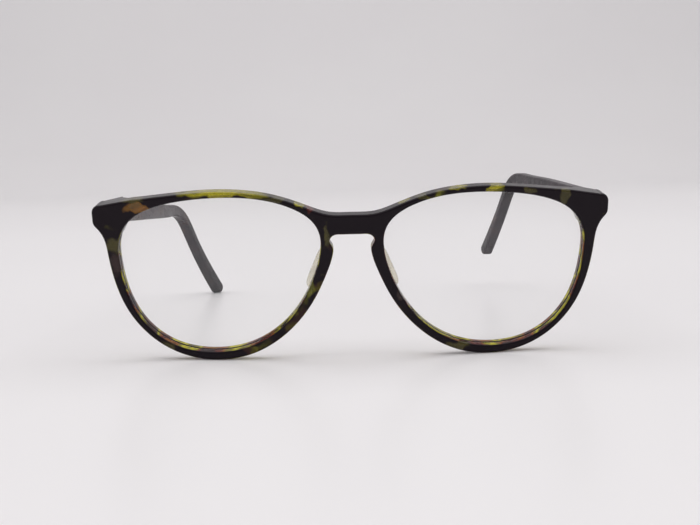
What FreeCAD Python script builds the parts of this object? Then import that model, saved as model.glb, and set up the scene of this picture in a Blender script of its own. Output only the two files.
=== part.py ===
import FreeCAD, Part
import math
import os

# Full-rim acetate eyeglasses with five-barrel hinges. Units are millimetres.
# X is lateral (+X is the wearer's left), the front faces -Y, the temples run to +Y, Z is up.
# The origin is the middle of the bounding box in X and Y, at the height of the table.

V = FreeCAD.Vector
OUT = "parts"

# --- overall sizes -------------------------------------------------------------------
EYE_SIZE = 54.0            # boxed lens width
BRIDGE_GAP = 16.4          # shortest distance between the two lenses
ENDPIECE_REACH = 6.6       # outer edge of the lens to the outer edge of the endpiece
HALF_WIDTH = BRIDGE_GAP / 2.0 + EYE_SIZE + ENDPIECE_REACH
FRONT_RADIUS = 300.0       # horizontal bend of the front
FRONT_THICK = 4.0          # acetate sheet of the front
TEMPLE_BEND = 96.0         # hinge to the ear bend
TIP_LENGTH = 46.0          # ear bend to the end of the temple tip
TIP_DROP = 46.0            # degrees the tip falls from the temple
BEND_RADIUS = 22.0         # ear bend, on the centre line

# --- stance --------------------------------------------------------------------------
PANTO = {-1: 12.6, 1: 6.9}   # degrees from the front's normal down to each temple
WORN_SIDE = -1               # the temple that touches the table together with both rims

# --- lens and groove -----------------------------------------------------------------
LENS_RADIUS = 150.0        # front curve of the lens
LENS_THICK = 2.0
LENS_TONGUE = 0.6          # bevel of the lens that sits in the rim groove
TONGUE_THICK = 0.9
LENS_GAP = 0.05            # clearance between the lens and the rim
LENS_DEPTH = 1.15          # front face of the rim to the front of the lens edge
LENS_BULGE = 1.45          # how far the middle of the lens stands ahead of its edge

# --- endpiece and hinge --------------------------------------------------------------
ENDPIECE_INNER = HALF_WIDTH - 7.4   # where the endpiece reaches its full thickness
ENDPIECE_RAMP = 3.0        # run over which the endpiece thickens
RAMP_SINK = 0.6            # how far the start of that run lies inside the sheet
ENDPIECE_FLOOR = 2.2       # lowest level of the thick endpiece
ENDPIECE_THICK = 5.6       # at the middle of the butt face
TEMPLE_THICK = 3.8
TEMPLE_INSET = 0.2         # outer edge of the endpiece to the temple's outer face
BUTT_GAP = 0.04            # open temple to endpiece
HINGE_LEVEL = 6.3          # hinge centre above the lens datum
BARREL_RADIUS = 1.5
BARREL_HEIGHT = 0.88
BARREL_GAP = 0.05
BARREL_COUNT = 5
WALL_GAP = 0.3             # barrel to the wall that faces it
SCREW_RADIUS = 0.6
SCREW_PLAY = 0.04
SCREW_HEAD_RADIUS = 1.05
SCREW_HEAD_HEIGHT = 0.5
SLOT_WIDTH = 0.28
SLOT_DEPTH = 0.25
LEAF_THICK = 0.9
LEAF_HALF = 2.1            # half the height of a hinge leaf
LEAF_LENGTH = 8.0          # temple leaf, back from the pivot
ANCHOR_RADIUS = 0.45
ANCHOR_LENGTH = 2.0

# --- temple --------------------------------------------------------------------------
TEMPLE_IN_SLOPE = 0.020    # inward run of the temple per millimetre
TEMPLE_IN_BOW = 0.0002     # inward bow, per square millimetre
TIP_CURL = {-1: 0.0037, 1: 0.0016}   # extra inward bow of each tip, as the temples were adjusted
CURL_LEAD = 15.0           # how far ahead of the ear bend that extra bow begins
CORE_WIDTH = 1.7
CORE_THICK = 0.8
CORE_START = 10.0
CORE_END = 8.0             # end of the core wire to the end of the tip
TIP_CAP = 2.1              # radius of the rounded end of the tip
TEMPLE_EDGE = 0.9          # rounding of the long edges of a temple
RIM_EDGE = 0.6             # rounding of the front edges of the front

# --- nose pads -----------------------------------------------------------------------
PAD_THICK = 2.3
PAD_HEIGHT = 13.0
PAD_REACH = 4.6
PAD_SPLAY = 18.0           # degrees the pads open to the rear
PAD_CANT = 21.0            # degrees the pads open downward
PAD_EDGE = 0.75
PAD_SINK = 0.5             # how far the blank reaches into the rim before it is fitted
PAD_ROOT_X = 8.5
PAD_ROOT_Z = -8.4

BIG = 200.0
AHEAD = -20.0              # depth range that reaches through the whole front
BEHIND = 60.0
SIDES = ((1, "left"), (-1, "right"))

# Right half of the front seen square on: lateral distance and height above the lens datum.
BROW = [(0, 7.5), (6, 7.7), (12, 9.7), (20, 12.4), (31, 13.9), (44, 13.3), (56, 11.8), (66.4, 9.9)]
LOWER = [(68.7, 5.6), (67.4, 3.3), (65.9, 0.8), (65.1, -3.5), (63.9, -10.5), (60.6, -19.2),
         (53.6, -27.2), (45.8, -31.2), (38.3, -32.4), (28.4, -31.0), (18.4, -25.2),
         (10.5, -15.8), (6.5, -7.5), (5.0, -2.8), (5.0, -1.2), (5.8, 0.5), (5.0, 1.9),
         (2.9, 2.3), (0, 2.3)]
APERTURE = [(8.2, -0.5), (10.4, 6.0), (16.2, 9.7), (24, 11.8), (34, 12.3), (44, 11.4),
            (52.5, 9.3), (58.9, 5.4), (61.8, 0), (62.0, -5.5), (60.2, -15), (55.3, -23.4),
            (47.5, -28.6), (38.5, -30.1), (28.5, -28.5), (19.5, -23.2), (12.5, -14.2), (9.3, -6.6)]
DRAWN_EYE = 53.9           # lens width that the two outlines are drawn at
DRAWN_HALF = 68.8          # endpiece position that the two outlines are drawn at
DRAWN_NASAL = 8.15         # nasal edge of the lens that the two outlines are drawn at
LENS_MIDDLE = -9.0         # height of the middle of a lens
CORNER = 2.1               # radius of the upper corner of the endpiece
OFFSET_STEPS = 40          # points that carry a parallel outline

# Half-heights of a temple along its centre line, as fractions of its length.
TEMPLE_HALVES = [(0.0, 2.75), (0.32, 2.6), (0.56, 2.15), (0.68, 1.75), (0.78, 1.7), (0.90, 1.95), (0.985, 2.1)]


def stretch_x(x):
    """Moves a drawn lateral distance to the named bridge, eye and endpiece sizes."""
    nasal = BRIDGE_GAP / 2.0
    temporal = nasal + EYE_SIZE
    drawn_temporal = DRAWN_NASAL + DRAWN_EYE
    if x <= DRAWN_NASAL:
        return x * nasal / DRAWN_NASAL
    if x <= drawn_temporal:
        return nasal + (x - DRAWN_NASAL) * EYE_SIZE / DRAWN_EYE
    return temporal + (x - drawn_temporal) * (HALF_WIDTH - temporal) / (DRAWN_HALF - drawn_temporal)


def flat(points, side=1):
    return [V(side * stretch_x(x), 0, z) for x, z in points]


def spline(points, start=None, end=None):
    curve = Part.BSplineCurve()
    if start is None:
        curve.interpolate(points)
    else:
        curve.interpolate(Points=points, InitialTangent=start, FinalTangent=end)
    return curve.toShape()


def front_outline():
    """Closed outline of the whole front in the plane y = 0."""
    edges = []
    for side in (1, -1):
        brow = flat(BROW, side)
        lower = flat(LOWER, side)
        corner_top = brow[-1]
        corner_side = V(lower[0].x, 0, corner_top.z - CORNER)
        cut_in = CORNER * (1 - math.sqrt(0.5))
        middle = V(lower[0].x - side * cut_in, 0, corner_top.z - cut_in)
        edges.append(spline(brow, V(side, 0, 0), V(side, 0, -0.2)))
        edges.append(Part.Arc(corner_top, middle, corner_side).toShape())
        edges.append(Part.makeLine(corner_side, lower[0]))
        edges.append(spline(lower, V(0, 0, -1), V(-side, 0, 0)))
    return Part.Wire(Part.__sortEdges__(edges))


def closed_spline(points):
    curve = Part.BSplineCurve()
    curve.interpolate(points, PeriodicFlag=True)
    return curve


def aperture_wire(side, offset=0.0):
    """Outline of one lens opening, or a parallel outline that far outside it."""
    curve = closed_spline(flat(APERTURE, side))
    if not offset:
        return Part.Wire([curve.toShape()])
    middle = V(side * lens_centre(), 0, LENS_MIDDLE)
    span = curve.LastParameter - curve.FirstParameter
    points = []
    for step in range(OFFSET_STEPS):
        at = curve.FirstParameter + span * step / OFFSET_STEPS
        point = curve.value(at)
        tangent = curve.tangent(at)[0]
        outward = V(tangent.z, 0, -tangent.x)
        if outward.dot(point - middle) < 0:
            outward = outward * -1
        points.append(point + outward * offset)
    return Part.Wire([closed_spline(points).toShape()])


def prism(wire, y0, y1):
    face = Part.Face(wire)
    face.translate(V(0, y0, 0))
    return face.extrude(V(0, y1 - y0, 0))


def upright(radius):
    """Upright cylinder on the axis that the front is bent round."""
    return Part.makeCylinder(radius, BIG, V(0, FRONT_RADIUS, -BIG / 2), V(0, 0, 1))


def on_bend(edge, radius):
    """True if an edge lies on the upright cylinder of that radius."""
    span = edge.LastParameter - edge.FirstParameter
    for step in (0.1, 0.35, 0.6, 0.9):
        point = edge.valueAt(edge.FirstParameter + span * step)
        if abs(math.hypot(point.x, point.y - FRONT_RADIUS) - radius) > 0.002:
            return False
    return True


def surface_y(x):
    """Depth of the front face of the bent sheet at a lateral distance."""
    return FRONT_RADIUS - math.sqrt(FRONT_RADIUS ** 2 - x ** 2)


def lens_centre():
    return BRIDGE_GAP / 2.0 + EYE_SIZE / 2.0


def pivot(side):
    """Centre of the hinge in the frame of the front."""
    inner_face = HALF_WIDTH - TEMPLE_INSET - TEMPLE_THICK
    x = inner_face - BARREL_RADIUS - WALL_GAP
    butt = surface_y(HALF_WIDTH - TEMPLE_THICK / 2.0) + ENDPIECE_THICK
    return V(side * x, butt + BARREL_RADIUS + WALL_GAP, HINGE_LEVEL)


def to_front(shape, side):
    """Places a shape drawn round the hinge axis of the wearer's left temple on either side."""
    placed = shape.copy()
    if side < 0:
        placed = placed.mirror(V(0, 0, 0), V(1, 0, 0))
    placed.rotate(V(0, 0, 0), V(1, 0, 0), -PANTO[side])
    placed.translate(pivot(side))
    return placed


def box(x0, x1, y0, y1, z0, z1):
    return Part.makeBox(x1 - x0, y1 - y0, z1 - z0, V(x0, y0, z0))


def butt_y():
    """Butt plane between endpiece and temple, measured from the hinge axis."""
    return -(BARREL_RADIUS + WALL_GAP)


def pick_edges(shape, test):
    return [edge for edge in shape.Edges if test(edge)]


def rounded(shape, radius, test):
    """Rounds the edges that pass a test, leaving the shape as it is if that cannot be built."""
    edges = pick_edges(shape, test)
    if not edges:
        return shape
    try:
        done = shape.makeFillet(radius, edges)
    except Part.OCCError:
        return shape
    if done.isValid() and done.Volume > 0.5 * shape.Volume:
        return done
    return shape


def lens_shell(side, thick, recess):
    """Spherical shell of a lens, bent to the same axis as the rim it sits in."""
    x = lens_centre()
    tilt = math.asin(x / FRONT_RADIUS)
    apex = V(side * x, surface_y(x) + recess, LENS_MIDDLE)
    toward = V(-side * math.sin(tilt), math.cos(tilt), 0)
    centre = apex + toward * LENS_RADIUS
    outer = Part.makeSphere(LENS_RADIUS, centre)
    inner = Part.makeSphere(LENS_RADIUS - thick, centre)
    return outer.cut(inner)


def lens(side, grow=0.0):
    """A lens with its bevel tongue; grow gives the tool that cuts the rim groove."""
    body_wire = aperture_wire(side, -LENS_GAP + grow)
    tongue_wire = aperture_wire(side, LENS_TONGUE - LENS_GAP + grow)
    body = prism(body_wire, AHEAD, BEHIND)
    body = body.common(lens_shell(side, LENS_THICK, LENS_DEPTH - LENS_BULGE))
    start = LENS_DEPTH - LENS_BULGE + (LENS_THICK - TONGUE_THICK) / 2.0 - grow
    tongue = prism(tongue_wire, AHEAD, BEHIND)
    tongue = tongue.common(lens_shell(side, TONGUE_THICK + 2 * grow, start))
    return body.fuse(tongue).removeSplitter()


def endpiece(side):
    """Thick part of the front that carries the hinge, cut square to the open temple."""
    ramp_start = ENDPIECE_INNER - ENDPIECE_RAMP
    sheet_back = surface_y(ramp_start) + FRONT_THICK - RAMP_SINK
    full_back = surface_y(HALF_WIDTH - TEMPLE_THICK / 2.0) + ENDPIECE_THICK
    plan = [(ramp_start, AHEAD), (ramp_start, sheet_back), (ENDPIECE_INNER, full_back),
            (ENDPIECE_INNER, BEHIND), (BIG, BEHIND), (BIG, AHEAD), (ramp_start, AHEAD)]
    corners = [V(side * x, y, ENDPIECE_FLOOR) for x, y in plan]
    window = Part.Face(Part.makePolygon(corners)).extrude(V(0, 0, BIG))
    block = prism(front_outline(), AHEAD, BEHIND).common(window)
    block = block.common(upright(FRONT_RADIUS))
    behind = to_front(box(-BIG, BIG, butt_y(), BIG, -BIG, BIG), side)
    return block.cut(behind)


def front_frame():
    """Rims, bridge and endpieces, cut from one bent sheet of acetate."""
    body = prism(front_outline(), AHEAD, BEHIND).common(upright(FRONT_RADIUS))
    body = body.cut(upright(FRONT_RADIUS - FRONT_THICK))
    for side, _ in SIDES:
        body = body.fuse(endpiece(side))
    body = body.removeSplitter()
    for side, _ in SIDES:
        body = body.cut(prism(aperture_wire(side), AHEAD, BEHIND))
    return rounded(body, RIM_EDGE, lambda e: on_bend(e, FRONT_RADIUS))


def knuckle(index):
    pitch = BARREL_HEIGHT + BARREL_GAP
    z = (index - (BARREL_COUNT - 1) / 2.0) * pitch - BARREL_HEIGHT / 2.0
    return z, z + BARREL_HEIGHT


def bore():
    tall = 10.0
    return Part.makeCylinder(SCREW_RADIUS + SCREW_PLAY, tall, V(0, 0, -tall / 2), V(0, 0, 1))


def front_leaf():
    """Hinge leaf sunk flush in the endpiece, with the outer three barrels."""
    back = butt_y()
    plate = box(-BARREL_RADIUS, BARREL_RADIUS, back - LEAF_THICK, back, -LEAF_HALF, LEAF_HALF)
    shape = plate
    for index in range(0, BARREL_COUNT, 2):
        z0, z1 = knuckle(index)
        ring = Part.makeCylinder(BARREL_RADIUS, BARREL_HEIGHT, V(0, 0, z0), V(0, 0, 1))
        neck = box(-BARREL_RADIUS, BARREL_RADIUS, back - 0.1, 0, z0, z1)
        shape = shape.fuse(ring).fuse(neck)
    for z in (-LEAF_HALF / 2, LEAF_HALF / 2):
        start = V(0, back - LEAF_THICK + 0.1, z)
        shape = shape.fuse(Part.makeCylinder(ANCHOR_RADIUS, ANCHOR_LENGTH, start, V(0, -1, 0)))
    return shape.cut(bore()).removeSplitter()


def temple_leaf():
    """Hinge leaf sunk flush in the temple's inner face, with the inner two barrels."""
    face = BARREL_RADIUS + WALL_GAP
    plate = box(face, face + LEAF_THICK, butt_y() + 0.5, LEAF_LENGTH, -LEAF_HALF, LEAF_HALF)
    shape = plate
    for index in range(1, BARREL_COUNT, 2):
        z0, z1 = knuckle(index)
        ring = Part.makeCylinder(BARREL_RADIUS, BARREL_HEIGHT, V(0, 0, z0), V(0, 0, 1))
        neck = box(0, face + 0.1, butt_y() + 0.5, BARREL_RADIUS, z0, z1)
        shape = shape.fuse(ring).fuse(neck)
    for y in (LEAF_LENGTH * 0.4, LEAF_LENGTH * 0.8):
        start = V(face + LEAF_THICK - 0.1, y, 0)
        shape = shape.fuse(Part.makeCylinder(ANCHOR_RADIUS, ANCHOR_LENGTH / 2, start, V(1, 0, 0)))
    return shape.cut(bore()).removeSplitter()


def hinge_screw():
    bottom = knuckle(0)[0]
    top = knuckle(BARREL_COUNT - 1)[1]
    shaft = Part.makeCylinder(SCREW_RADIUS, top - bottom, V(0, 0, bottom), V(0, 0, 1))
    head = Part.makeCylinder(SCREW_HEAD_RADIUS, SCREW_HEAD_HEIGHT, V(0, 0, top), V(0, 0, 1))
    head = rounded(head, 0.15, lambda e: e.BoundBox.ZMin > top + SCREW_HEAD_HEIGHT - 0.01)
    slot = box(-2, 2, -SLOT_WIDTH / 2, SLOT_WIDTH / 2, top + SCREW_HEAD_HEIGHT - SLOT_DEPTH, top + 2)
    return shaft.fuse(head.cut(slot)).removeSplitter()


def centre_line(s):
    """Point and upward normal of the temple centre line, s millimetres from the hinge."""
    drop = math.radians(TIP_DROP)
    tangent = BEND_RADIUS * math.tan(drop / 2)
    start = TEMPLE_BEND - tangent
    if s <= start:
        return V(0, s, 0), V(0, 0, 1)
    turned = min((s - start) / BEND_RADIUS, drop)
    point = V(0, start + BEND_RADIUS * math.sin(turned), -BEND_RADIUS * (1 - math.cos(turned)))
    along = V(0, math.cos(turned), -math.sin(turned))
    beyond = s - start - BEND_RADIUS * drop
    if beyond > 0:
        point = point + along * beyond
    return point, V(0, math.sin(turned), math.cos(turned))


def centre_length():
    drop = math.radians(TIP_DROP)
    tangent = BEND_RADIUS * math.tan(drop / 2)
    return TEMPLE_BEND - tangent + BEND_RADIUS * drop + TIP_LENGTH - tangent


def half_height(fraction):
    for (f0, h0), (f1, h1) in zip(TEMPLE_HALVES, TEMPLE_HALVES[1:]):
        if fraction <= f1:
            t = max(0.0, (fraction - f0) / (f1 - f0))
            blend = (1 - math.cos(math.pi * t)) / 2
            return h0 + (h1 - h0) * blend
    return TEMPLE_HALVES[-1][1]


def side_profile(constant, first, last):
    """Band round the centre line, of constant half-height or of the temple's own if that is zero."""
    total = centre_length()
    stations = [first]
    for fraction in (0.2, 0.4, 0.56, 0.62, 0.66, 0.70, 0.74, 0.80, 0.90):
        if first + 5 < fraction * total < last - 5:
            stations.append(fraction * total)
    stations.append(last)
    upper = []
    lower = []
    for s in stations:
        point, normal = centre_line(s)
        half = constant if constant else half_height(s / total)
        upper.append(point + normal * half)
        lower.append(point - normal * half)
    tip, normal = centre_line(last)
    far = centre_line(last + 1)[0] - tip
    nose = tip + far * (upper[-1] - tip).Length
    edges = [spline(upper), spline(lower), Part.makeLine(upper[0], lower[0])]
    edges.append(Part.Arc(upper[-1], nose, lower[-1]).toShape())
    return Part.Face(Part.Wire(Part.__sortEdges__(edges)))


def inward(y, side):
    """Lateral shift of a temple's centre line at a distance behind the hinge."""
    back = y - butt_y()
    tip = max(0.0, y - (TEMPLE_BEND - CURL_LEAD))
    return -(TEMPLE_IN_SLOPE * back + TEMPLE_IN_BOW * back ** 2 + TIP_CURL[side] * tip ** 2)


def plan_profile(half, first, side):
    """Plan band of a temple, bowed inward."""
    middle = BARREL_RADIUS + WALL_GAP + TEMPLE_THICK / 2.0
    stations = [first]
    for fraction in (0.3, 0.6, 0.8, 0.9, 1.0, 1.1, 1.2, 1.3):
        stations.append(TEMPLE_BEND * fraction)
    stations.append(TEMPLE_BEND + TIP_LENGTH)
    outer = [V(middle + half + inward(y, side), y, -BIG / 2) for y in stations]
    inner = [V(middle - half + inward(y, side), y, -BIG / 2) for y in stations]
    edges = [spline(outer), spline(inner)]
    edges.append(Part.makeLine(outer[0], inner[0]))
    edges.append(Part.makeLine(outer[-1], inner[-1]))
    return Part.Face(Part.Wire(Part.__sortEdges__(edges)))


def banded(side_face, plan_face):
    side_solid = side_face.extrude(V(BIG, 0, 0))
    side_solid.translate(V(-BIG / 2, 0, 0))
    plan_solid = plan_face.extrude(V(0, 0, BIG))
    return side_solid.common(plan_solid)


def temple(side):
    front = butt_y() + BUTT_GAP
    outline = side_profile(0.0, front, centre_length() - TIP_CAP)
    blank = banded(outline, plan_profile(TEMPLE_THICK / 2.0, front, side))
    return rounded(blank, TEMPLE_EDGE, lambda e: e.Length > 6 and e.BoundBox.YMax > front + 1)


def core_wire(side):
    outline = side_profile(CORE_WIDTH / 2.0, CORE_START, centre_length() - CORE_END)
    return banded(outline, plan_profile(CORE_THICK / 2.0, CORE_START - 1, side))


def nose_pad(side, frame):
    """Bonded acetate pad behind the nasal edge of the rim."""
    cant = math.radians(PAD_CANT)
    splay = math.radians(PAD_SPLAY)
    up = V(-side * math.sin(cant), 0, math.cos(cant))
    rear = V(side * math.sin(splay), math.cos(splay), 0)
    across = up.cross(rear)
    across.normalize()
    rear = across.cross(up)
    root = V(side * stretch_x(PAD_ROOT_X), surface_y(PAD_ROOT_X) + FRONT_THICK, PAD_ROOT_Z)
    half = PAD_HEIGHT / 2.0
    outline = [(-PAD_SINK, -half * 0.6), (-PAD_SINK, -half * 0.25), (-PAD_SINK, half * 0.3),
               (-PAD_SINK, half * 0.7), (PAD_REACH * 0.6, half * 0.86),
               (PAD_REACH, half * 0.1), (PAD_REACH * 0.75, -half * 0.92)]
    points = [root + rear * b + up * a - across * (PAD_THICK / 2.0) for b, a in outline]
    blank = Part.Face(Part.Wire([closed_spline(points).toShape()])).extrude(across * PAD_THICK)
    blank = rounded(blank, PAD_EDGE, lambda e: e.Length > PAD_HEIGHT)
    return max(blank.cut(frame).Solids, key=lambda solid: solid.Volume)


def temple_set(side):
    """Temple, core wire and leaf of one side, drawn round the hinge axis as if on the wearer's left."""
    wire = core_wire(side)
    leaf = temple_leaf()
    arm = temple(side).cut([wire, leaf])
    return {"temple_": arm, "temple_core_wire_": wire, "temple_hinge_leaf_": leaf}


def build_upright():
    """Every part with the front upright, its lens datum at z = 0."""
    parts = {}
    front_parts = {"front_hinge_leaf_": front_leaf(), "hinge_screw_": hinge_screw()}
    tools = []
    for side, name in SIDES:
        for stem, shape in list(temple_set(side).items()) + list(front_parts.items()):
            parts[stem + name] = to_front(shape, side)
        parts["lens_" + name] = lens(side)
        tools.append(lens(side, LENS_GAP))
        tools.append(parts["front_hinge_leaf_" + name])
    frame = front_frame()
    for side, name in SIDES:
        parts["nose_pad_" + name] = nose_pad(side, frame)
    parts["front_frame"] = frame.cut(tools)
    return parts


def lean():
    """Degrees the front tips forward when both rims and the worn side's tip touch the table."""
    low_x, low_z = min(LOWER, key=lambda point: point[1])
    rim = V(0, surface_y(stretch_x(low_x)) + RIM_EDGE, low_z + RIM_EDGE)
    end_radius = TEMPLE_HALVES[-1][1]
    marker = Part.Vertex(centre_line(centre_length() - end_radius)[0])
    tip = to_front(marker, WORN_SIDE).Point
    reach = tip - rim
    length = math.hypot(reach.y, reach.z)
    return math.degrees(math.asin((end_radius - RIM_EDGE) / length) - math.atan2(reach.z, reach.y))


def extent(shapes, axis):
    values = []
    for shape in shapes:
        values += [vertex[axis] for vertex in shape.tessellate(0.05)[0]]
    return min(values), max(values)


def build():
    """Every part standing on the table."""
    parts = build_upright()
    for shape in parts.values():
        shape.rotate(V(0, 0, 0), V(1, 0, 0), lean())
    outer = [parts["front_frame"], parts["temple_left"], parts["temple_right"]]
    y0, y1 = extent(outer, 1)
    z0 = extent(outer, 2)[0]
    for shape in parts.values():
        shape.translate(V(0, -(y0 + y1) / 2, -z0))
    return parts


def main():
    os.makedirs(OUT, exist_ok=True)
    for name, shape in sorted(build().items()):
        shape.exportStep(os.path.join(OUT, name + ".step"))


main()
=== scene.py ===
import math

import bpy
from mathutils import Matrix, Vector


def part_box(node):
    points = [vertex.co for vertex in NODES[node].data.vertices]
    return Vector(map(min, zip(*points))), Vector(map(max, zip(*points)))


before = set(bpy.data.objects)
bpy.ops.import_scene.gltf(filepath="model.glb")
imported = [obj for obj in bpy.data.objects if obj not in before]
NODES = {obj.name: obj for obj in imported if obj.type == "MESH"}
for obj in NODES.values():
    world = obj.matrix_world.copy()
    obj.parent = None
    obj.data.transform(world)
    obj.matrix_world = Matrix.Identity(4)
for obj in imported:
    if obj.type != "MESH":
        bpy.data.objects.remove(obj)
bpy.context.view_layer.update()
SCENE = bpy.context.scene

MM = 0.001

# The open glasses stand on the floor at z = 0, face -Y and are seen from a little above.
CAMERA_PLACE = (-4.09, -316.64, 54.11)      # millimetres
CAMERA_FORWARD = (0.01374, 0.99364, -0.11178)
CAMERA_UP = (0.02497, 0.11141, 0.99346)
CAMERA_LENS = 48.85                         # millimetres, on the sensor width below
CAMERA_SENSOR = 36.0
CAMERA_NEAR = 0.01

# Name, place, aim, width and length (m) and power (W) of each soft box.
SOFT_BOXES = [
    ("top_box", (0.0, 0.0, 1.8), (0.0, 0.0, 0.0), (3.0, 2.6), 31.0),
    ("left_box", (-1.3, -0.2, 0.8), (0.0, 0.0, 0.03), (0.9, 0.9), 4.0),
    ("right_box", (1.3, -0.1, 0.8), (0.0, 0.0, 0.03), (0.9, 0.9), 4.0),
]
SKY_COLOUR = (1.0, 0.97, 0.99, 1.0)
SKY_STRENGTH = 0.36

PLASTIC_IOR = 1.5
BROW_START = 8 * MM        # above the middle of the lenses, where the wall tones begin to fade
BROW_FADE = 5 * MM         # height over which they fade out
WARP_REACH = 5 * MM        # how far the patches are pushed about
TEMPLE_EDGE = 0.5 * MM     # rounding added to the sharp edges of the temples
SHARP_EDGE = 50            # degrees between two faces, from which an edge is rounded
FINE_BUMP = 0.2 * MM
GRAIN_BUMP = 0.1 * MM
GRAIN_SHADE = 0.72         # brightness of the dark grain lines of the metals
STREAK = (1.0, 0.25, 1.0)  # draws the mottling out along Y
GRAIN = (1.0, 1.0, 6.0)    # squeezes the grain along Z

# Where a mask begins and where it is full.
PATCH_EDGE = (1.3, 0.7)    # distance from a patch's middle, 1 on its ellipse
WALL_TURN = (0.75, 0.35)   # size of the normal's Y part
FLECK_EDGE = (0.61, 0.73)  # noise level

# How far light passes into the acetate: 0 not at all, 1 all of it.
WALL_GLOW = 0.25
BRIGHT_GLOW = 0.85
DULL_GLOW = 0.5

# Linear colours of the acetate.
DARK = (0.0085, 0.0046, 0.0078)
BROWN = (0.034, 0.014, 0.013)
RED = (0.135, 0.020, 0.013)
OLIVE = (0.075, 0.062, 0.010)
GREEN = (0.170, 0.165, 0.016)
LIME = (0.560, 0.500, 0.008)
AMBER = (0.480, 0.205, 0.010)
BRIGHT = (LIME, AMBER)

# Each tone list holds (place on the ramp, linear colour).
TEMPLE_TONES = [
    (0.40, (0.009, 0.004, 0.008)),
    (0.56, (0.018, 0.008, 0.014)),
    (0.72, (0.045, 0.021, 0.018)),
]
FLECK_TONES = [(0.38, BROWN), (0.52, OLIVE), (0.66, GREEN)]
PAD_TONES = [(0.38, (0.46, 0.36, 0.16)), (0.52, (0.62, 0.54, 0.30)), (0.66, (0.70, 0.64, 0.44))]
# Greenish tint of the lens surface: a painted reflection of its anti-reflective coating, not a
# colour of the glass.
LENS_REFLECTION_TONES = [(0.35, (0.90, 0.96, 0.93)), (0.65, (0.95, 0.97, 0.98))]
PAPER_TONES = [(0.3, (0.800, 0.782, 0.790)), (0.7, (0.812, 0.796, 0.802))]

# Tones of the sheet where it is cut across, along the walls round the lenses: laminate colours,
# with painted glow raising their brightness for the light that passes through the sheet.
WALL_LAMINATE_AND_GLOW_TONES = [
    (0.30, (0.030, 0.012, 0.016)),
    (0.38, RED),
    (0.43, (0.300, 0.100, 0.012)),
    (0.48, (0.200, 0.170, 0.016)),
    (0.54, (0.620, 0.560, 0.020)),
    (0.60, (0.240, 0.210, 0.020)),
    (0.66, BROWN),
    (0.74, RED),
]

# Light patches of the front: lateral place, height above the middle of the lenses,
# half length, half height (mm) and colour.
PATCHES = [
    (-33.5, 21.9, 10.5, 1.5, LIME),
    (-19.0, 20.4, 3.4, 0.9, OLIVE),
    (-13.0, 19.0, 1.4, 1.2, LIME),
    (-10.6, 18.0, 0.9, 1.4, RED),
    (-55.8, 17.9, 2.7, 1.3, AMBER),
    (-57.4, 20.2, 2.9, 1.3, OLIVE),
    (-63.2, 7.8, 2.2, 1.9, OLIVE),
    (-62.8, 3.0, 1.9, 2.6, BROWN),
    (-6.8, 9.7, 0.9, 2.4, OLIVE),
    (-11.8, -4.0, 1.0, 2.6, GREEN),
    (-50.5, -20.5, 2.2, 2.0, OLIVE),
    (13.6, 19.2, 1.5, 1.3, LIME),
    (17.6, 20.0, 1.6, 1.0, OLIVE),
    (28.0, 21.7, 2.3, 1.0, LIME),
    (37.4, 21.8, 2.3, 1.0, LIME),
    (46.5, 20.4, 1.6, 0.7, OLIVE),
    (56.8, 18.6, 1.2, 2.0, OLIVE),
    (27.5, -21.0, 3.0, 1.3, OLIVE),
    (12.5, -4.5, 1.0, 2.4, BROWN),
]


def material(name):
    """A new material with one Principled shader: the material, its tree and the shader."""
    made = bpy.data.materials.new(name)
    made.use_nodes = True
    tree = made.node_tree
    tree.nodes.clear()
    shader = tree.nodes.new("ShaderNodeBsdfPrincipled")
    output = tree.nodes.new("ShaderNodeOutputMaterial")
    tree.links.new(shader.outputs[0], output.inputs[0])
    return made, tree, shader


def node(tree, kind, **values):
    made = tree.nodes.new(kind)
    for key, value in values.items():
        setattr(made, key, value)
    return made


def link(tree, source, target):
    tree.links.new(source, target)


def settle(shader, values):
    """Sets the shader sockets that are the same all over a surface."""
    for name, value in values.items():
        shader.inputs[name].default_value = value


def math_node(tree, operation, a, b=0.0):
    made = node(tree, "ShaderNodeMath", operation=operation)
    for socket, value in zip(made.inputs, (a, b)):
        if isinstance(value, (int, float)):
            socket.default_value = value
        else:
            link(tree, value, socket)
    return made.outputs[0]


def object_place(tree):
    """Position in the row frame, in metres."""
    return node(tree, "ShaderNodeTexCoord").outputs["Object"]


def noise(tree, place, scale, detail=3.0, rough=0.5, distortion=0.0):
    made = node(tree, "ShaderNodeTexNoise")
    made.inputs["Scale"].default_value = scale
    made.inputs["Detail"].default_value = detail
    made.inputs["Roughness"].default_value = rough
    made.inputs["Distortion"].default_value = distortion
    link(tree, place, made.inputs["Vector"])
    return made


def ramp(tree, factor, stops):
    made = node(tree, "ShaderNodeValToRGB")
    made.color_ramp.interpolation = "EASE"
    elements = made.color_ramp.elements
    while len(elements) < len(stops):
        elements.new(0.5)
    for element, (at, colour) in zip(elements, stops):
        element.position = at
        element.color = (*colour, 1.0)
    link(tree, factor, made.inputs[0])
    return made.outputs[0]


def mix_colour(tree, factor, a, b):
    """a where the factor is 0, b where it is 1; each is a plain colour or a socket."""
    made = node(tree, "ShaderNodeMix", data_type="RGBA")
    link(tree, factor, made.inputs[0])
    for socket, value in ((made.inputs[6], a), (made.inputs[7], b)):
        if isinstance(value, tuple):
            socket.default_value = (*value, 1.0)
        else:
            link(tree, value, socket)
    return made.outputs[2]


def stretch(tree, factor, low, high, to_low=0.0, to_high=1.0):
    """Smooth step of a factor from one range to another."""
    made = node(tree, "ShaderNodeMapRange", interpolation_type="SMOOTHSTEP")
    for index, value in enumerate((low, high, to_low, to_high), start=1):
        made.inputs[index].default_value = value
    link(tree, factor, made.inputs[0])
    return made.outputs[0]


def bump(tree, shader, height, strength, distance):
    made = node(tree, "ShaderNodeBump")
    made.inputs["Strength"].default_value = strength
    made.inputs["Distance"].default_value = distance
    link(tree, height, made.inputs["Height"])
    link(tree, made.outputs[0], shader.inputs["Normal"])


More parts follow.
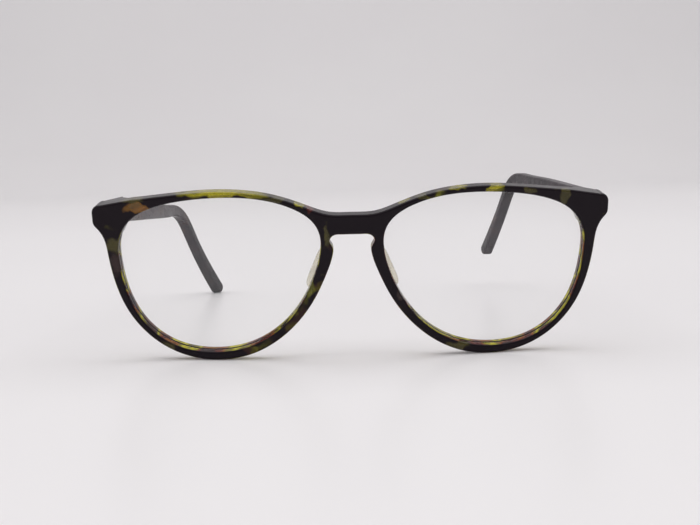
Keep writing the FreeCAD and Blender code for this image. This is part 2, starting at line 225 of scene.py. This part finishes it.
def lens_middle():
    """Height of the middle of the lenses."""
    low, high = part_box("lens_left")
    return (low[2] + high[2]) / 2


def patch_mask(tree, warped, patch):
    """1 inside an ellipse in the plane of the front, falling off softly."""
    x, z, half_x, half_z, _ = patch
    any_depth = 1000.0
    shift = node(tree, "ShaderNodeMapping", vector_type="TEXTURE")
    shift.inputs["Location"].default_value = (x * MM, 0.0, lens_middle() + z * MM)
    shift.inputs["Scale"].default_value = (half_x * MM, any_depth, half_z * MM)
    link(tree, warped, shift.inputs["Vector"])
    length = node(tree, "ShaderNodeVectorMath", operation="LENGTH")
    link(tree, shift.outputs[0], length.inputs[0])
    return stretch(tree, length.outputs["Value"], *PATCH_EDGE)


def below_brow(tree, place):
    """1 below the brow, falling to 0 on it."""
    split = node(tree, "ShaderNodeSeparateXYZ")
    link(tree, place, split.inputs[0])
    start = lens_middle() + BROW_START
    return stretch(tree, split.outputs["Z"], start + BROW_FADE, start)


def wall_mask(tree):
    """1 on faces across the sheet, round the lenses and outside; 0 on its front and back."""
    geometry = node(tree, "ShaderNodeNewGeometry")
    split = node(tree, "ShaderNodeSeparateXYZ")
    link(tree, geometry.outputs["Normal"], split.inputs[0])
    facing = math_node(tree, "ABSOLUTE", split.outputs["Y"])
    return stretch(tree, facing, *WALL_TURN)


def worn_gloss(tree, shader, place, base, spread):
    """Roughness with handling smudges."""
    smudge = noise(tree, place, scale=160.0, detail=4.0, rough=0.6)
    rough = stretch(tree, smudge.outputs["Fac"], 0.3, 0.75, base, base + spread)
    link(tree, rough, shader.inputs["Roughness"])


def warped_place(tree, place):
    """Position pushed about by a slow noise, so that no patch has a plain outline."""
    drift = noise(tree, place, scale=220.0, detail=2.0)
    centred = node(tree, "ShaderNodeVectorMath", operation="SUBTRACT")
    link(tree, drift.outputs["Color"], centred.inputs[0])
    centred.inputs[1].default_value = (0.5, 0.5, 0.5)
    scaled = node(tree, "ShaderNodeVectorMath", operation="SCALE")
    link(tree, centred.outputs[0], scaled.inputs[0])
    scaled.inputs["Scale"].default_value = WARP_REACH
    moved = node(tree, "ShaderNodeVectorMath", operation="ADD")
    link(tree, place, moved.inputs[0])
    link(tree, scaled.outputs[0], moved.inputs[1])
    return moved.outputs[0]


def laminate_and_glow_colour(tree, warped):
    """Colour of the sheet where it is cut across: laminate tones, brightened as painted glow of
    light passing through.
    """
    bands = noise(tree, warped, scale=150.0, detail=1.0, rough=0.4, distortion=0.2)
    return ramp(tree, bands.outputs["Fac"], WALL_LAMINATE_AND_GLOW_TONES)


def fine_bump(tree, shader, place, scale, strength):
    """Faint unevenness of polished plastic."""
    ripple = noise(tree, place, scale)
    bump(tree, shader, ripple.outputs["Fac"], strength, FINE_BUMP)


def acetate_front():
    """Near-black sheet with placed light patches, random flecks, and walls in laminate tones
    brightened as painted glow.
    """
    made, tree, shader = material("tortoise_acetate")
    place = object_place(tree)
    warped = warped_place(tree, place)
    mottle = noise(tree, warped, scale=125.0, detail=2.0, rough=0.45, distortion=0.3)
    hue = noise(tree, warped, scale=230.0, detail=2.0)
    tints = ramp(tree, hue.outputs["Fac"], FLECK_TONES)
    blotch = stretch(tree, mottle.outputs["Fac"], *FLECK_EDGE)
    colour = mix_colour(tree, blotch, DARK, tints)
    inner = math_node(tree, "MULTIPLY", wall_mask(tree), below_brow(tree, place))
    # Walls below the brow take the laminate tones, brightened as painted glow of the light
    # through the sheet.
    colour = mix_colour(tree, inner, colour, laminate_and_glow_colour(tree, warped))
    glow = math_node(tree, "MULTIPLY", inner, WALL_GLOW)
    for patch in PATCHES:
        mask = patch_mask(tree, warped, patch)
        tone = patch[4]
        colour = mix_colour(tree, mask, colour, tone)
        light = math_node(tree, "MULTIPLY", mask, BRIGHT_GLOW if tone in BRIGHT else DULL_GLOW)
        glow = math_node(tree, "MAXIMUM", glow, light)
    link(tree, colour, shader.inputs["Base Color"])
    link(tree, glow, shader.inputs["Transmission Weight"])
    worn_gloss(tree, shader, place, base=0.12, spread=0.12)
    settle(shader, {
        "IOR": PLASTIC_IOR,
        "Specular IOR Level": 0.12,
        "Coat Weight": 0.04,
        "Coat Roughness": 0.06,
    })
    fine_bump(tree, shader, place, scale=900.0, strength=0.06)
    return made


def acetate_temple():
    """Dark purple-brown acetate with mottling drawn out along the temple."""
    made, tree, shader = material("temple_acetate")
    place = object_place(tree)
    streak = node(tree, "ShaderNodeMapping")
    streak.inputs["Scale"].default_value = STREAK
    link(tree, place, streak.inputs["Vector"])
    mottle = noise(tree, streak.outputs[0], scale=150.0, distortion=0.4)
    colour = ramp(tree, mottle.outputs["Fac"], TEMPLE_TONES)
    link(tree, colour, shader.inputs["Base Color"])
    worn_gloss(tree, shader, place, base=0.22, spread=0.14)
    settle(shader, {
        "IOR": PLASTIC_IOR,
        "Specular IOR Level": 0.07,
        "Coat Weight": 0.04,
        "Coat Roughness": 0.16,
    })
    fine_bump(tree, shader, place, scale=700.0, strength=0.08)
    return made


def acetate_pad():
    """Pale, half-clear acetate."""
    made, tree, shader = material("pad_acetate")
    place = object_place(tree)
    mottle = noise(tree, place, scale=180.0, detail=2.0, distortion=0.3)
    link(tree, ramp(tree, mottle.outputs["Fac"], PAD_TONES), shader.inputs["Base Color"])
    worn_gloss(tree, shader, place, base=0.22, spread=0.15)
    settle(shader, {
        "Transmission Weight": 0.7,
        "Alpha": 0.45,
        "IOR": 1.3,
        "Specular IOR Level": 0.2,
    })
    fine_bump(tree, shader, place, scale=900.0, strength=0.06)
    return made


def clear_lens():
    """Clear lens with painted reflection: a greenish coating tint over the glass, and the rim's
    laminate colours on its ground edge.
    """
    made, tree, shader = material("clear_lens")
    place = object_place(tree)
    # Faint greenish tint over the lens: painted reflection of the coating.
    reflection_film = noise(tree, place, scale=18.0, detail=2.0)
    painted_reflection_tint = ramp(tree, reflection_film.outputs["Fac"], LENS_REFLECTION_TONES)
    # The ground edge takes the rim's laminate colours and turns nearly opaque: a painted
    # reflection of the rim seen in the edge.
    edge = wall_mask(tree)
    painted_rim_reflection = laminate_and_glow_colour(tree, warped_place(tree, place))
    link(tree, mix_colour(tree, edge, painted_reflection_tint, painted_rim_reflection), shader.inputs["Base Color"])
    link(tree, stretch(tree, edge, 0.0, 1.0, 0.05, 0.9), shader.inputs["Alpha"])
    worn_gloss(tree, shader, place, base=0.02, spread=0.04)
    settle(shader, {"IOR": PLASTIC_IOR, "Specular IOR Level": 0.4})
    return made


def metal(name, colour, rough, scale):
    """Drawn or turned metal with fine grain across Z."""
    made, tree, shader = material(name)
    place = object_place(tree)
    grain = node(tree, "ShaderNodeMapping")
    grain.inputs["Scale"].default_value = GRAIN
    link(tree, place, grain.inputs["Vector"])
    lines = noise(tree, grain.outputs[0], scale, detail=4.0, rough=0.6).outputs["Fac"]
    darker = tuple(channel * GRAIN_SHADE for channel in colour)
    link(tree, ramp(tree, lines, [(0.35, darker), (0.65, colour)]), shader.inputs["Base Color"])
    link(tree, stretch(tree, lines, 0.3, 0.7, rough, rough + 0.15), shader.inputs["Roughness"])
    settle(shader, {"Metallic": 1.0})
    bump(tree, shader, lines, strength=0.15, distance=GRAIN_BUMP)
    return made


def paint(stem, made):
    """Gives a material to every CAD node whose name starts with the stem."""
    for name, thing in NODES.items():
        if name.startswith(stem):
            thing.data.materials.clear()
            thing.data.materials.append(made)


def paper():
    """Pale paper with a faint sheen."""
    made, tree, shader = material("paper")
    tone = noise(tree, object_place(tree), scale=3.0, detail=2.0)
    link(tree, ramp(tree, tone.outputs["Fac"], PAPER_TONES), shader.inputs["Base Color"])
    settle(shader, {"Roughness": 0.32, "Specular IOR Level": 0.25})
    return made


def sweep():
    """Seamless paper: a floor that curves up far behind the object."""
    half_width = 3.0
    front_y = -1.6
    bend_y = 1.1
    radius = 0.9
    top = 3.0
    steps = 24
    profile = [(front_y, 0.0), (bend_y, 0.0)]
    for step in range(1, steps + 1):
        turn = math.pi / 2 * step / steps
        profile.append((bend_y + radius * math.sin(turn), radius * (1 - math.cos(turn))))
    profile.append((bend_y + radius, top))
    verts = [(side * half_width, y, z) for y, z in profile for side in (-1, 1)]
    faces = [(2 * i, 2 * i + 1, 2 * i + 3, 2 * i + 2) for i in range(len(profile) - 1)]
    mesh = bpy.data.meshes.new("paper_sweep")
    mesh.from_pydata(verts, [], faces)
    for face in mesh.polygons:
        face.use_smooth = True
    thing = bpy.data.objects.new("paper_sweep", mesh)
    SCENE.collection.objects.link(thing)
    mesh.materials.append(paper())


def area_light(name, place, aim, size, power):
    data = bpy.data.lights.new(name, "AREA")
    data.shape = "RECTANGLE"
    data.size, data.size_y = size
    data.energy = power
    thing = bpy.data.objects.new(name, data)
    SCENE.collection.objects.link(thing)
    thing.location = place
    thing.rotation_euler = (Vector(aim) - Vector(place)).to_track_quat("-Z", "Y").to_euler()


def lighting():
    """Pale surroundings and three large soft boxes."""
    world = bpy.data.worlds.new("studio")
    SCENE.world = world
    world.use_nodes = True
    background = world.node_tree.nodes["Background"]
    background.inputs["Color"].default_value = SKY_COLOUR
    background.inputs["Strength"].default_value = SKY_STRENGTH
    for soft_box in SOFT_BOXES:
        area_light(*soft_box)


def camera():
    place = Vector(CAMERA_PLACE) * MM
    forward = Vector(CAMERA_FORWARD)
    side = forward.cross(Vector(CAMERA_UP)).normalized()
    up = side.cross(forward)
    data = bpy.data.cameras.new("camera")
    data.lens = CAMERA_LENS
    data.sensor_width = CAMERA_SENSOR
    data.clip_start = CAMERA_NEAR
    thing = bpy.data.objects.new("camera", data)
    SCENE.collection.objects.link(thing)
    turn = Matrix((side, up, -forward)).transposed()
    thing.matrix_world = Matrix.Translation(place) @ turn.to_4x4()
    SCENE.camera = thing


def soften(name, width):
    """Rounds the sharp edges of a CAD node."""
    made = NODES[name].modifiers.new("edge", "BEVEL")
    made.width = width
    made.segments = 3
    made.limit_method = "ANGLE"
    made.angle_limit = math.radians(SHARP_EDGE)


def dress():
    """A material for every CAD node, and softer edges on the temples."""
    temple = acetate_temple()
    leaf = metal("hinge_metal", (0.60, 0.57, 0.52), rough=0.26, scale=900.0)
    paint("front_frame", acetate_front())
    paint("nose_pad", acetate_pad())
    paint("lens", clear_lens())
    paint("front_hinge_leaf", leaf)
    paint("temple_hinge_leaf", leaf)
    paint("hinge_screw", metal("screw_steel", (0.68, 0.67, 0.65), rough=0.18, scale=1400.0))
    paint("temple_core_wire", metal("core_wire", (0.64, 0.61, 0.56), rough=0.30, scale=700.0))
    for side in ("left", "right"):
        paint("temple_" + side, temple)
        soften("temple_" + side, TEMPLE_EDGE)


dress()
sweep()
lighting()
camera()
SCENE.view_settings.view_transform = "Standard"
